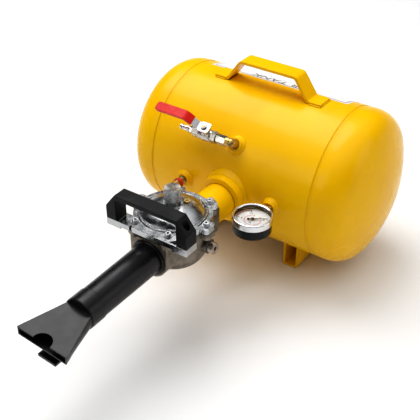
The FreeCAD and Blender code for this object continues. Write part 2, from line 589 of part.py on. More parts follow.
def make_lever():
    # Drawn with the stem along Z; the lever lies towards -X, over the air plug.
    top = LEVER_LOW + LEVER_THICK
    path = [(-80, top + 18.8), (-27, top + 18.8), (-9.5, top), (10, top)]
    core = strap(path, 3.0, LEVER_THICK, 6.4)
    plate = box(-8.5, 10, -8.2, 8.2, LEVER_LOW, top)
    plate = plate.makeFillet(3.6, [e for e in plate.Edges if e.Length < 3])
    lever = joined([core, plate]).cut(rod(STEM_R, 15, 30))
    skin = [(-81.4, top + 20.2), (-26.6, top + 20.2), (-16.4, top + 9.25)]
    sleeve = strap(skin, 4.4, LEVER_THICK + 2.8, 7.4).cut(core)
    sleeve = max(sleeve.Solids, key=lambda solid: solid.Volume)
    far = [e for e in sleeve.Edges if e.BoundBox.XMax < -81.3 and e.BoundBox.YLength < 0.1]
    sleeve = sleeve.makeFillet(4.0, far)
    nut = hex_bar(9, top, 26.6, chamfer=0.5).cut(rod(STEM_R, 20, 30))
    for name, shape in (("lever", lever), ("lever_sleeve", sleeve), ("lever_nut", nut)):
        keep(name, placed(shape, BALL, STEM_DIR, X))


# ---- relief valve ----
def make_relief():
    at = RELIEF_AT
    mouth = SMALL_MOUTH
    body = turned([(3, 120), (SMALL_THREAD_R, 120), (SMALL_THREAD_R, mouth - 1.5), (5.2, mouth - 1.5), (5.2, 141),
                   (7.2, 141), (7.2, 157), (4.2, 157), (4.2, 141), (3, 139)], at, FRONT)
    keep("relief_body", body)
    keep("relief_sleeve", tube(8.4, 7.2, 142.5, 147.5, at, FRONT))
    keep("relief_cap", turned([(1.5 + RUN, 153), (4.2, 153), (4.2, 157), (6.4, 157), (6.4, 159), (5.6, 160),
                               (1.5 + RUN, 160)], at, FRONT))
    eye = V(at.x, -166, at.z)
    stem = joined([turned([(0, 141.5), (3.7, 141.5), (3.7, 144), (1.5, 144), (1.5, 164.5), (0, 164.5)], at, FRONT),
                   rod(2.9, -1.4, 1.4, eye, X)]).cut(rod(1.45, -3, 3, eye, X))
    keep("relief_stem", stem)
    keep("relief_spring", coil(2.75, 0.7, 144, 153, 5, at, FRONT))
    ring = Part.makeTorus(9.5, 0.9, eye - Z * 9.5, Y)
    keep("relief_ring", ring)


# ---- pressure gauge ----
def make_gauge():
    at = GAUGE_AT
    low, case_r, wall = -12.0, 29.2, 1.5
    neck_r = 3.8              # of the socket, where it passes through the case below the dial
    inner = case_r - wall
    axis = V(at.x, 0, 0)
    case = turned([(0, low), (case_r - 1.5, low), (case_r, low + 1.5), (case_r, 12), (inner, 12),
                   (inner, low + wall), (0, low + wall)], at)
    case = case.cut(rod(neck_r, 140, 160, axis, FRONT))
    keep("gauge_case", case)
    keep("gauge_bezel", turned([(case_r, 4.6), (30.6, 4.6), (30.9, 5.2), (30.9, 13.0), ("arc", (30.2, 14.6), (28.6, 15)),
                                (27.2, 14.2), (26.8, 13.4), (case_r, 13.4)], at))
    keep("gauge_lens", rod(case_r, 12, 13.4, at))
    dial = rod(inner, 4, 4.8, at).cut(rod(0.9, 3, 6, at))
    keep("gauge_dial", dial)
    socket = joined([rod(SMALL_THREAD_R, 119, SMALL_MOUTH, axis, FRONT),
                     prism([(-7, -7), (7, -7), (7, 7), (-7, 7)], SMALL_MOUTH, 146, axis, FRONT, X),
                     rod(neck_r, 146, 154, axis, FRONT), box(at.x - 5, at.x + 5, -163, -154, -5, 3)])
    socket = socket.cut(rod(2, 118, 160, axis, FRONT))
    keep("gauge_stem", socket)
    # Pressure spring: a flat tube bent to a C, from the socket round to its free end.
    section = Part.Wire(Part.makePolygon([V(20, 0, -3.5), V(22, 0, -3.5), V(22, 0, 2.5), V(20, 0, 2.5), V(20, 0, -3.5)]))
    c_tube = Part.Face(section).revolve(V(0, 0, 0), Z, 240)
    c_tube.rotate(V(0, 0, 0), Z, 110)
    c_tube.translate(at)
    socket_top = box(at.x - 6, at.x + 6, -164, -150, -6, 4)
    keep("bourdon_tube", max(c_tube.cut(socket_top).Solids, key=lambda s: s.Volume))
    plate = joined([box(at.x - 9, at.x + 9, -186, -170, -4, -2.4), box(at.x - 9, at.x + 9, -186, -170, 1.4, 3),
                    rod(1.5, -2.4, 1.4, V(at.x - 7, -184, 0)), rod(1.5, -2.4, 1.4, V(at.x + 7, -184, 0)),
                    box(at.x - 3, at.x + 3, -170, -163, -4, -2.4)])
    keep("gauge_movement", plate.cut(rod(0.8 + RUN, -10, 10, at)))
    # Needle: the pointer lies at its stop, at the back right of the dial.
    pointer = prism([(-7, -0.9), (0, -1.1), (22.5, -0.25), (22.5, 0.25), (0, 1.1), (-7, 0.9)], 6.6, 7.2)
    pointer.rotate(V(0, 0, 0), Z, 35)
    needle = joined([placed(pointer, at), rod(2.6, 6.2, 8, at), rod(0.8, -4, 6.2, at)])
    keep("gauge_needle", needle)


def save_all():
    os.makedirs("parts", exist_ok=True)
    for name, shape in pieces.items():
        moved = shape.copy()
        moved.translate(TO_PART_FRAME)
        moved.exportStep("parts/%s.step" % name)
        solids = moved.Solids
        print("%-18s %2d solid(s)  volume %9.0f mm3  %s" % (
            name, len(solids), moved.Volume, "valid" if moved.isValid() else "NOT VALID"))


make_receiver()
make_handle_and_feet()
make_outlet_pipe()
make_valve_body()
make_cover()
make_diaphragm()
make_push_button()
make_grip_handle()
make_barrel_and_nozzle()
make_fill_line()
make_lever()
make_relief()
make_gauge()
save_all()
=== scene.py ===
"""Looks of a bead seater tank: finishes for every CAD part, and the fine detail CAD leaves out."""

import json
import math

import bmesh
import bpy
from mathutils import Matrix, Vector


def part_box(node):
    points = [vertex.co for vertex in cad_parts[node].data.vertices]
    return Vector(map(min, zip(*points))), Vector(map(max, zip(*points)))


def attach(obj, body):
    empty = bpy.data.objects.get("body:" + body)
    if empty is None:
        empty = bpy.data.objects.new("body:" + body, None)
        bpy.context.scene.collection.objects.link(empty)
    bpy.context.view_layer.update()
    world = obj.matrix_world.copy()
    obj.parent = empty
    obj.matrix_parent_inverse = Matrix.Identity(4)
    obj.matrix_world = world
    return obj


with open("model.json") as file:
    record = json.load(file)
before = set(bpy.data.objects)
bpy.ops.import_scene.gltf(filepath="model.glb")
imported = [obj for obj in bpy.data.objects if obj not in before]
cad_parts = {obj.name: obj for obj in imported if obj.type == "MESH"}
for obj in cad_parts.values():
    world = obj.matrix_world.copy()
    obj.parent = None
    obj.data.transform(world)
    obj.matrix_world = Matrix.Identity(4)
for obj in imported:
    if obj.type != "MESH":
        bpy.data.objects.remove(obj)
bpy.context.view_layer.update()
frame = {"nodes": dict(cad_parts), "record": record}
nodes = frame["nodes"]
MM = 0.001
UP = Vector((0, 0, 1))


# ---- places, all worked out from the frame ----
def corners(node):
    low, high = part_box(node)
    return Vector(low), Vector(high)


def middle(node):
    low, high = corners(node)
    return (low + high) / 2


def top(node):
    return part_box(node)[1][2]


SHELL_LOW, SHELL_HIGH = corners("tank_shell")
TANK_R = (SHELL_HIGH.z - SHELL_LOW.z) / 2
TANK_AXIS = Vector((0, (SHELL_LOW.y + SHELL_HIGH.y) / 2, (SHELL_LOW.z + SHELL_HIGH.z) / 2))
VALVE = middle("button_cap")
GAUGE = middle("gauge_dial")
NEEDLE_ZERO = math.radians(35)
NEEDLE_SWEEP = math.radians(270)
INK_DEPTH = 0.12 * MM


# ---- finishes ----
class Finish:
    """A procedural material whose colour, roughness and relief vary over the surface."""

    def __init__(self, name, color, roughness, metallic=0.0, **sockets):
        self.material = bpy.data.materials.new(name)
        self.material.use_nodes = True
        self.tree = self.material.node_tree
        self.shader = self.tree.nodes["Principled BSDF"]
        self.color, self.height = None, None
        self.place = self.tree.nodes.new("ShaderNodeTexCoord").outputs["Object"]
        self.shader.inputs["Base Color"].default_value = (*color, 1)
        self.shader.inputs["Roughness"].default_value = roughness
        self.shader.inputs["Metallic"].default_value = metallic
        for socket, value in sockets.items():
            self.shader.inputs[socket.replace("_", " ")].default_value = value

    def node(self, kind, values=None, **settings):
        made = self.tree.nodes.new("ShaderNode" + kind)
        for key, value in settings.items():
            setattr(made, key, value)
        for socket, value in (values or {}).items():
            if isinstance(value, bpy.types.NodeSocket):
                self.tree.links.new(value, made.inputs[socket])
            else:
                made.inputs[socket].default_value = value
        return made

    def stretched(self, scale):
        return self.node("VectorMath", {0: self.place, 1: scale}, operation="MULTIPLY").outputs[0]

    def noise(self, size, detail=3.0, rough=0.55):
        """Noise whose blobs are about `size` metres across."""
        where = self.stretched((1 / size,) * 3)
        return self.node("TexNoise", {"Vector": where, "Scale": 1.0, "Detail": detail,
                                      "Roughness": rough}).outputs["Fac"]

    def cells(self, size):
        where = self.stretched((1 / size,) * 3)
        return self.node("TexVoronoi", {"Vector": where, "Scale": 1.0}).outputs["Distance"]

    def offset_from(self, centre):
        made = self.node("VectorMath", {0: self.place, 1: tuple(centre)}, operation="SUBTRACT")
        return made.outputs[0]

    def turned(self, centre, axis, pitch):
        """Fine rings left by a lathe about `axis`: on faces across it and along it alike."""
        offset = self.offset_from(centre)
        along = self.node("VectorMath", {0: offset, 1: tuple(axis)}, operation="DOT_PRODUCT")
        along = along.outputs["Value"]
        length = self.node("VectorMath", {0: offset}, operation="LENGTH").outputs["Value"]
        squares = [self.node("Math", {0: value, 1: 2.0}, operation="POWER").outputs[0]
                   for value in (length, along)]
        radius = self.node("Math", {0: squares[0], 1: squares[1]}, operation="SUBTRACT").outputs[0]
        radius = self.node("Math", {0: radius, 1: 0.5}, operation="POWER").outputs[0]
        both = self.node("Math", {0: radius, 1: along}, operation="ADD").outputs[0]
        rings = self.node("CombineXYZ", {0: both}).outputs[0]
        scaled = self.node("VectorMath", {0: rings, "Scale": 1 / pitch}, operation="SCALE").outputs[0]
        return self.node("TexNoise", {"Vector": scaled, "Scale": 1.0, "Detail": 2.0}).outputs["Fac"]

    def ribs(self, centre, count):
        """Straight ridges round a vertical axis, as on a knurled knob."""
        offset = self.offset_from(centre)
        sides = self.node("SeparateXYZ", {0: offset}).outputs
        angle = self.node("Math", {0: sides["Y"], 1: sides["X"]}, operation="ARCTAN2").outputs[0]
        phase = self.node("Math", {0: angle, 1: float(count)}, operation="MULTIPLY").outputs[0]
        return self.node("Math", {0: phase}, operation="SINE").outputs[0]

    def between(self, mask, low, high, to_low=0.0, to_high=1.0):
        """The mask, stretched so that low..high becomes to_low..to_high."""
        values = {"Value": mask, "From Min": low, "From Max": high, "To Min": to_low, "To Max": to_high}
        return self.node("MapRange", values, interpolation_type="SMOOTHSTEP").outputs["Result"]

    def tint(self, mask, other):
        """Blends the colour towards another where the mask is high."""
        now = self.color or tuple(self.shader.inputs["Base Color"].default_value)
        mix = self.node("Mix", data_type="RGBA")
        sockets = (mix.inputs["Factor"], mix.inputs[6], mix.inputs[7])
        for socket, value in zip(sockets, (mask, now, (*other, 1))):
            if isinstance(value, bpy.types.NodeSocket):
                self.tree.links.new(value, socket)
            else:
                socket.default_value = value
        self.color = mix.outputs[2]
        self.tree.links.new(self.color, self.shader.inputs["Base Color"])
        return self

    def gloss(self, mask, low, high):
        """Roughness runs from low to high as the mask runs over its usual range."""
        self.tree.links.new(self.between(mask, 0.3, 0.7, low, high), self.shader.inputs["Roughness"])
        return self

    def relief(self, mask, depth, strength=1.0):
        values = {"Height": mask, "Distance": depth, "Strength": strength}
        if self.height is not None:
            values["Normal"] = self.height
        self.height = self.node("Bump", values).outputs["Normal"]
        self.tree.links.new(self.height, self.shader.inputs["Normal"])
        return self

    def soft_edges(self, radius):
        """Rounds the look of sharp edges by `radius`, as paint and casting do."""
        self.height = self.node("Bevel", {"Radius": radius}, samples=4).outputs["Normal"]
        self.tree.links.new(self.height, self.shader.inputs["Normal"])
        return self

    def creases(self, reach):
        """Painted shade: high in corners and grooves, where light does not reach."""
        open_sky = self.node("AmbientOcclusion", {"Distance": reach}, samples=8).outputs["AO"]
        return self.between(open_sky, 0.85, 0.42)

    def edge_mask(self, radius):
        """High on outer edges, where a part gets rubbed."""
        soft = self.node("Bevel", {"Radius": radius}, samples=4).outputs["Normal"]
        flat = self.node("NewGeometry").outputs["Normal"]
        same = self.node("VectorMath", {0: soft, 1: flat}, operation="DOT_PRODUCT")
        broken = self.noise(0.004, 4)
        edge = self.between(same.outputs["Value"], 0.97, 0.86)
        patches = self.between(broken, 0.42, 0.62)
        return self.node("Math", {0: edge, 1: patches}, operation="MULTIPLY").outputs[0]


def yellow_paint():
    f = Finish("golden_yellow_paint", (0.90, 0.505, 0.0), 0.25, Specular_IOR_Level=0.16)
    f.soft_edges(0.8 * MM)
    f.tint(f.between(f.noise(0.09, 2), 0.35, 0.75), (0.85, 0.455, 0.0))
    f.tint(f.between(f.noise(0.012, 5), 0.62, 0.8, 0, 0.2), (0.78, 0.42, 0.004))
    # Painted shade: the paint darkens in corners, grooves and weld seams.
    f.tint(f.creases(3.5 * MM), (0.33, 0.155, 0.0))
    f.gloss(f.noise(0.05, 4), 0.20, 0.30)
    return f.relief(f.noise(0.0022, 2), 0.05 * MM, 0.35)


def black_paint():
    f = Finish("black_satin_paint", (0.005, 0.005, 0.006), 0.3, Specular_IOR_Level=0.3)
    f.soft_edges(0.5 * MM)
    f.tint(f.between(f.noise(0.03, 5), 0.5, 0.8), (0.011, 0.011, 0.014))
    f.tint(f.edge_mask(0.7 * MM), (0.06, 0.06, 0.065))
    f.gloss(f.noise(0.018, 5), 0.26, 0.34)
    return f.relief(f.noise(0.0012, 3), 0.05 * MM, 0.5)


def cast_aluminium():
    f = Finish("sand_cast_aluminium", (0.27, 0.235, 0.19), 0.5, 0.85)
    f.soft_edges(1.0 * MM)
    f.tint(f.between(f.noise(0.02, 5), 0.35, 0.7), (0.14, 0.12, 0.098))
    # Painted shade: the casting darkens in corners and grooves.
    f.tint(f.creases(5.0 * MM), (0.045, 0.037, 0.028))
    f.tint(f.edge_mask(1.0 * MM), (0.55, 0.52, 0.47))
    f.gloss(f.noise(0.006, 4), 0.42, 0.62)
    f.relief(f.noise(0.0016, 4, rough=0.7), 0.22 * MM, 0.8)
    return f.relief(f.cells(0.0045), 0.12 * MM, 0.5)


def machined_aluminium(name, centre, axis, pitch, color=(0.48, 0.49, 0.50), low=0.14, high=0.28):
    f = Finish(name, color, 0.2, 1.0)
    f.soft_edges(0.5 * MM)
    f.tint(f.between(f.noise(0.015, 4), 0.45, 0.75), tuple(0.8 * c for c in color))
    # Painted shade: the metal darkens in corners and grooves.
    f.tint(f.creases(2.5 * MM), tuple(0.22 * c for c in color))
    f.tint(f.edge_mask(0.5 * MM), (0.88, 0.88, 0.87))
    f.gloss(f.noise(0.01, 4), low, high)
    return f.relief(f.turned(centre, axis, pitch), 0.05 * MM, 0.18)


def knurled_button():
    """Turned top and straight-knurled side."""
    f = machined_aluminium("turned_button", VALVE, UP, 0.35 * MM, (0.50, 0.50, 0.50), 0.2, 0.32)
    return f.relief(f.ribs(VALVE, 64), 0.22 * MM, 0.8)


def moulded_plastic():
    f = Finish("black_moulded_plastic", (0.007, 0.007, 0.008), 0.46, Specular_IOR_Level=0.16)
    f.soft_edges(0.9 * MM)
    f.tint(f.between(f.noise(0.025, 4), 0.45, 0.75), (0.014, 0.014, 0.015))
    f.tint(f.edge_mask(0.8 * MM), (0.05, 0.05, 0.052))
    f.gloss(f.noise(0.02, 4), 0.38, 0.54)
    return f.relief(f.cells(0.0011), 0.06 * MM, 0.6)


def black_rubber():
    f = Finish("black_rubber", (0.014, 0.014, 0.014), 0.72)
    f.tint(f.between(f.noise(0.006, 5), 0.5, 0.75), (0.035, 0.034, 0.032))
    f.gloss(f.noise(0.01, 4), 0.62, 0.85)
    return f.relief(f.noise(0.0009, 3), 0.08 * MM, 0.7)


def plated(name, color, low, high, grain=0.0010, depth=0.03, worn=(0.9, 0.9, 0.88), dull=0.62):
    """Bright plating over steel or brass: fine grain, darker patches and rubbed edges."""
    f = Finish(name, color, low, 1.0)
    f.soft_edges(0.35 * MM)
    f.tint(f.between(f.noise(0.005, 5), 0.48, 0.72), tuple(dull * c for c in color))
    # Painted shade: the plating darkens in corners and grooves.
    f.tint(f.creases(1.6 * MM), tuple(0.2 * c for c in color))
    f.tint(f.edge_mask(0.35 * MM), worn)
    f.gloss(f.noise(0.003, 4), low, high)
    return f.relief(f.noise(grain, 4), depth * MM, 0.6)


def drawn_wire():
    f = Finish("drawn_spring_wire", (0.42, 0.42, 0.43), 0.3, 1.0)
    f.tint(f.between(f.noise(0.002, 4), 0.45, 0.7), (0.26, 0.25, 0.25))
    return f.gloss(f.noise(0.002, 3), 0.24, 0.42).relief(f.noise(0.0007, 3), 0.03 * MM, 0.5)


def dipped_vinyl():
    f = Finish("red_dipped_vinyl", (0.66, 0.012, 0.006), 0.28, Specular_IOR_Level=0.22)
    f.soft_edges(1.4 * MM)
    f.tint(f.between(f.noise(0.02, 3), 0.4, 0.75), (0.50, 0.008, 0.004))
    f.gloss(f.noise(0.01, 4), 0.22, 0.4)
    return f.relief(f.noise(0.006, 2), 0.2 * MM, 0.5).relief(f.noise(0.0008, 2), 0.03 * MM, 0.4)


def red_plastic():
    f = Finish("red_plastic_ring", (0.58, 0.012, 0.010), 0.4)
    f.soft_edges(0.4 * MM)
    f.tint(f.between(f.noise(0.003, 3), 0.45, 0.7), (0.42, 0.008, 0.008))
    return f.gloss(f.noise(0.003, 3), 0.34, 0.5).relief(f.noise(0.0008, 2), 0.04 * MM, 0.5)


def white_ptfe():
    f = Finish("white_ptfe", (0.80, 0.80, 0.77), 0.5, Subsurface_Weight=0.1)
    f.tint(f.between(f.noise(0.003, 3), 0.45, 0.7), (0.70, 0.70, 0.66))
    return f.gloss(f.noise(0.002, 3), 0.42, 0.6).relief(f.noise(0.0006, 2), 0.03 * MM, 0.4)


def label_film():
    """White printed film with a plain grey border and a soft wrinkle."""
    f = Finish("white_label_film", (0.80, 0.80, 0.79), 0.38, Coat_Weight=0.2)
    low, high = corners("label")
    axes = f.node("SeparateXYZ", {0: f.place})
    half, centre = (high.x - low.x) / 2, (high.x + low.x) / 2
    across = f.node("Math", {0: axes.outputs["X"], 1: centre}, operation="SUBTRACT").outputs[0]
    across = f.node("Math", {0: across}, operation="ABSOLUTE").outputs[0]
    edge_x = f.node("Math", {0: half, 1: across}, operation="SUBTRACT").outputs[0]
    edge_y = f.node("Math", {0: axes.outputs["Y"], 1: low.y}, operation="SUBTRACT").outputs[0]
    edge_z = f.node("Math", {0: axes.outputs["Z"], 1: low.z}, operation="SUBTRACT").outputs[0]
    edge = f.node("Math", {0: edge_x, 1: edge_y}, operation="MINIMUM").outputs[0]
    edge = f.node("Math", {0: edge, 1: edge_z}, operation="MINIMUM").outputs[0]
    line_starts, line_ends, blur = 2.5 * MM, 5.0 * MM, 0.5 * MM
    inner = f.between(edge, line_ends, line_ends + blur, 1, 0)
    outer = f.between(edge, line_starts, line_starts + blur)
    f.tint(f.node("Math", {0: inner, 1: outer}, operation="MULTIPLY").outputs[0], (0.30, 0.31, 0.33))
    f.tint(f.between(f.noise(0.05, 4), 0.5, 0.8, 0, 0.5), (0.66, 0.66, 0.64))
    return f.gloss(f.noise(0.03, 3), 0.32, 0.46).relief(f.noise(0.03, 2), 0.3 * MM, 0.4)


def gauge_enamel():
    f = Finish("black_enamel", (0.004, 0.004, 0.005), 0.24, Specular_IOR_Level=0.2)
    f.soft_edges(0.6 * MM)
    f.tint(f.between(f.noise(0.01, 4), 0.5, 0.8), (0.009, 0.009, 0.010))
    return f.gloss(f.noise(0.01, 3), 0.18, 0.32).relief(f.noise(0.0015, 2), 0.03 * MM, 0.4)


def dial_enamel():
    f = Finish("white_dial_enamel", (0.84, 0.84, 0.82), 0.45)
    f.tint(f.between(f.noise(0.012, 3), 0.45, 0.75), (0.78, 0.78, 0.75))
    return f.gloss(f.noise(0.006, 3), 0.38, 0.55).relief(f.noise(0.0006, 2), 0.01 * MM, 0.3)


def dial_ink(name, color):
    f = Finish(name, color, 0.5)
    f.tint(f.between(f.noise(0.001, 3), 0.5, 0.75), tuple(min(1, c * 1.4 + 0.01) for c in color))
    return f.gloss(f.noise(0.001, 2), 0.42, 0.6)


def clear_glass():
    f = Finish("clear_gauge_glass", (1, 1, 1), 0.02, Transmission_Weight=1.0, IOR=1.3)
    return f.gloss(f.noise(0.01, 3), 0.01, 0.03).relief(f.noise(0.02, 2), 0.01 * MM, 0.2)


BRASS_EDGE = (0.85, 0.68, 0.35)
finishes = {
    "yellow_paint": yellow_paint(),
    "black_paint": black_paint(),
    "cast_aluminium": cast_aluminium(),
    "machined_aluminium": machined_aluminium("machined_aluminium", VALVE, UP, 0.6 * MM),
    "black_plastic": moulded_plastic(),
    "rubber": black_rubber(),
    "zinc_steel": plated("zinc_plated_steel", (0.62, 0.63, 0.65), 0.26, 0.42, dull=0.75),
    "spring_steel": drawn_wire(),
    "nickel": plated("nickel_plated_brass", (0.56, 0.53, 0.47), 0.2, 0.38, depth=0.08),
    "brass": plated("turned_brass", (0.62, 0.42, 0.15), 0.22, 0.4, worn=BRASS_EDGE),
    "red_vinyl": dipped_vinyl(),
    "red_plastic": red_plastic(),
    "ptfe": white_ptfe(),
    "label_film": label_film(),
    "gauge_black": gauge_enamel(),
    "chrome": plated("polished_chrome", (0.72, 0.72, 0.73), 0.06, 0.16, depth=0.01, dull=0.85),
    "dial_white": dial_enamel(),
    "glass": clear_glass(),
}
special = {
    "button_cap": knurled_button(),
    "fill_elbow": plated("brown_brass", (0.50, 0.33, 0.11), 0.2, 0.4, worn=BRASS_EDGE, dull=0.45),
    "hex_adapter": plated("bright_nickel", (0.60, 0.57, 0.51), 0.12, 0.26, depth=0.02),
    "port_plug": plated("dull_plug", (0.42, 0.36, 0.30), 0.26, 0.42, depth=0.05),
    "lever_nut": plated("dark_nut", (0.30, 0.29, 0.27), 0.2, 0.36),
    "ball_stem": plated("brass_stem", (0.55, 0.42, 0.20), 0.2, 0.36, worn=BRASS_EDGE),
    "relief_cap": plated("bright_relief_cap", (0.62, 0.62, 0.62), 0.18, 0.32),
}


def paint(piece, material):
    """Fills every slot the piece has, or gives it one."""
    if piece.material_slots:
        for slot in piece.material_slots:
            slot.material = material
    else:
        piece.data.materials.append(material)


for entry in frame["record"]["subparts"]:
    finish = special.get(entry["node"], finishes[entry["material_slot"]])
    paint(nodes[entry["node"]], finish.material)


# ---- new pieces ----
def add(name, mesh, body, slot, material=None, smooth=True):
    """Puts a new piece in the scene, on one body and with one slot."""
    piece = bpy.data.objects.new(name, mesh)
    bpy.context.scene.collection.objects.link(piece)
    mesh.materials.append(material or finishes[slot].material)
    for polygon in mesh.polygons:
        polygon.use_smooth = smooth
    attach(piece, body)
    return piece


def sweep(bm, rings):
    """Skin a list of rings, each a closed loop of points, and cap both ends."""
    loops = [[bm.verts.new(point) for point in ring] for ring in rings]
    count = len(loops[0])
    for before, after in zip(loops, loops[1:]):
        for k in range(count):
            bm.faces.new((before[k], before[(k + 1) % count], after[(k + 1) % count], after[k]))
    bm.faces.new(list(reversed(loops[0])))
    bm.faces.new(loops[-1])


def finished(bm, name):
    """Turns the working mesh into a real one, with its faces outward."""
    bmesh.ops.recalc_face_normals(bm, faces=bm.faces)
    mesh = bpy.data.meshes.new(name)
    bm.to_mesh(mesh)
    bm.free()
    return mesh


def weld_bead(bm, start, end, height_at, out, radius=2.1 * MM):
    """A rippled fillet from start to end. height_at(point) drops a point onto the tank."""
    run = end - start
    pitch, ring_points = 1.7 * MM, 10
    steps = max(int(run.length / (pitch / 5)), 8)
    along = run.normalized()
    rings = []
    for k in range(steps + 1):
        share = k / steps
        centre = height_at(start + run * share)
        wave = abs(math.sin(math.pi * share * run.length / pitch))
        taper = min(1.0, 3.5 * min(share, 1 - share) * run.length / (4 * radius) + 0.35)
        size = radius * (0.86 + 0.14 * wave) * taper
        ring = []
        for turn in range(ring_points):
            angle = 2 * math.pi * turn / ring_points
            lag = along * (0.35 * radius * math.sin(angle))
            ring.append(centre + out * (size * math.cos(angle)) + UP * (size * math.sin(angle)) + lag)
        rings.append(ring)
    sweep(bm, rings)


def on_tank(point, side):
    """The point of the tank straight above or below: side is 1 for its upper half, -1 for its lower."""
    drop = math.sqrt(TANK_R ** 2 - (point.y - TANK_AXIS.y) ** 2)
    return Vector((point.x, point.y, TANK_AXIS.z + side * drop))


def handle_welds():
    """Beads round the two flanges of the carry handle."""
    low, high = corners("carry_handle")
    flange = 20 * MM
    bm = bmesh.new()
    # both long edges of each flange, then its outer end
    for x0, x1 in ((low.x, low.x + flange), (high.x - flange, high.x)):
        for y, out in ((low.y, -1), (high.y, 1)):
            weld_bead(bm, Vector((x0, y, 0)), Vector((x1, y, 0)), lambda p: on_tank(p, 1),
                      Vector((0, out, 0)))
    for x, out in ((low.x, -1), (high.x, 1)):
        weld_bead(bm, Vector((x, low.y, 0)), Vector((x, high.y, 0)), lambda p: on_tank(p, 1),
                  Vector((out, 0, 0)))
    add("handle_weld_beads", finished(bm, "handle_weld_beads"), "tank", "yellow_paint")


def foot_welds():
    """Three stitches down each side of each foot."""
    bm = bmesh.new()
    stitch, inset = 26 * MM, 3 * MM
    for foot in ("foot_left", "foot_right"):
        low, high = corners(foot)
        for x, out in ((low.x, -1), (high.x, 1)):
            for y in (low.y + inset, (low.y + high.y - stitch) / 2, high.y - inset - stitch):
                weld_bead(bm, Vector((x, y, 0)), Vector((x, y + stitch, 0)), lambda p: on_tank(p, -1),
                          Vector((out, 0, 0)))
    add("foot_weld_beads", finished(bm, "foot_weld_beads"), "tank", "yellow_paint")


def thread(name, centre, axis, radius, length, pitch, body, slot):
    """Turns of a screw thread that stand out of a cylinder."""
    across = axis.orthogonal().normalized()
    other = axis.cross(across)
    per_turn, fade_steps = 28, 14
    steps = length / pitch * per_turn
    depth, root, half_width = 0.45 * pitch, radius - 0.15 * pitch, 0.46 * pitch
    rings = []
    for k in range(int(steps) + 1):
        angle = 2 * math.pi * k / per_turn
        out = across * math.cos(angle) + other * math.sin(angle)
        base = centre + axis * (pitch * k / per_turn - length / 2)
        fade = min(1.0, k / fade_steps, (steps - k) / fade_steps + 0.05)
        rings.append([base + out * root - axis * half_width,
                      base + out * (radius + depth * fade),
                      base + out * root + axis * half_width])
    bm = bmesh.new()
    sweep(bm, rings)
    add(name, finished(bm, name), body, slot, smooth=False)


def flat_band(bm, centre, inner, outer, start, sweep_angle, low, high, steps):
    """A slab between two radii and two angles, as for a dial mark or a coloured arc."""
    rings = []
    for k in range(steps + 1):
        angle = start + sweep_angle * k / steps
        out = Vector((math.cos(angle), math.sin(angle), 0))
        rings.append([centre + out * inner + UP * low, centre + out * outer + UP * low,
                      centre + out * outer + UP * high, centre + out * inner + UP * high])
    sweep(bm, rings)


def gauge_face():
    """Ticks, red scales, plain numbers and a unit, a hair above the dial."""
    black = dial_ink("black_dial_ink", (0.01, 0.01, 0.01)).material
    red = dial_ink("red_dial_ink", (0.55, 0.01, 0.01)).material
    centre = Vector((GAUGE.x, GAUGE.y, top("gauge_dial")))
    lift, rim = INK_DEPTH, 24.5 * MM
    bm = bmesh.new()
    divisions, major, middling = 40, 10, 5
    for k in range(divisions + 1):
        angle = NEEDLE_ZERO - NEEDLE_SWEEP * k / divisions
        long_mark = k % major == 0
        depth = 4.6 * MM if long_mark else (3.4 * MM if k % middling == 0 else 2.4 * MM)
        width = math.radians(2.4 if long_mark else 1.3)
        flat_band(bm, centre, rim - depth, rim, angle - width / 2, width, 0, lift, 1)
    flat_band(bm, centre, rim, rim + 0.35 * MM, NEEDLE_ZERO - NEEDLE_SWEEP, NEEDLE_SWEEP, 0, lift, 90)
    add("gauge_ticks", finished(bm, "gauge_ticks"), "tank", "gauge_black", black, smooth=False)
    bm = bmesh.new()
    last, inner_scale, inner_marks = NEEDLE_SWEEP / 4, 12.6 * MM, 28
    full_scale, ring = NEEDLE_ZERO - NEEDLE_SWEEP, 0.4 * MM
    flat_band(bm, centre, rim + 0.6 * MM, rim + 2.2 * MM, full_scale, last, 0, lift, 30)
    flat_band(bm, centre, inner_scale, inner_scale + ring, full_scale, NEEDLE_SWEEP, 0, lift, 90)
    for k in range(inner_marks + 1):
        angle = NEEDLE_ZERO - NEEDLE_SWEEP * k / inner_marks
        reach = inner_scale - (2.0 if k % 4 == 0 else 1.1) * MM
        flat_band(bm, centre, reach, inner_scale, angle, math.radians(2.2), 0, lift, 1)
    add("gauge_red_scale", finished(bm, "gauge_red_scale"), "tank", "red_plastic", red, smooth=False)
    dial_screws(centre)
    words(centre - Vector((0, 7.6 * MM, 0)), "bar", 3.8 * MM, "gauge_unit", black)
    numbers, numbers_r = (0, 3, 6, 9, 12), 16.6 * MM
    for number in numbers:
        angle = NEEDLE_ZERO - NEEDLE_SWEEP * number / numbers[-1]
        spot = centre + Vector((math.cos(angle), math.sin(angle), 0)) * numbers_r
        words(spot, str(number), 5.6 * MM, "gauge_number_%d" % number, black)


def letters(text, size, depth):
    """Flat raised lettering about the origin, read from above with +Y up."""
    curve = bpy.data.curves.new("letters", "FONT")
    curve.body, curve.size, curve.extrude = text, size, depth / 2
    curve.align_x, curve.align_y = "CENTER", "CENTER"
    holder = bpy.data.objects.new("letters", curve)
    mesh = bpy.data.meshes.new_from_object(holder)
    bpy.data.objects.remove(holder)
    mesh.materials.clear()
    return mesh


def words(centre, text, size, name, ink):
    """Lettering on the dial, upright for a reader who stands behind the tank."""
    mesh = letters(text, size, INK_DEPTH)
    mesh.transform(Matrix.Translation(centre + UP * INK_DEPTH / 2) @ Matrix.Rotation(math.pi, 4, "Z"))
    add(name, mesh, "tank", "gauge_black", ink, smooth=False)


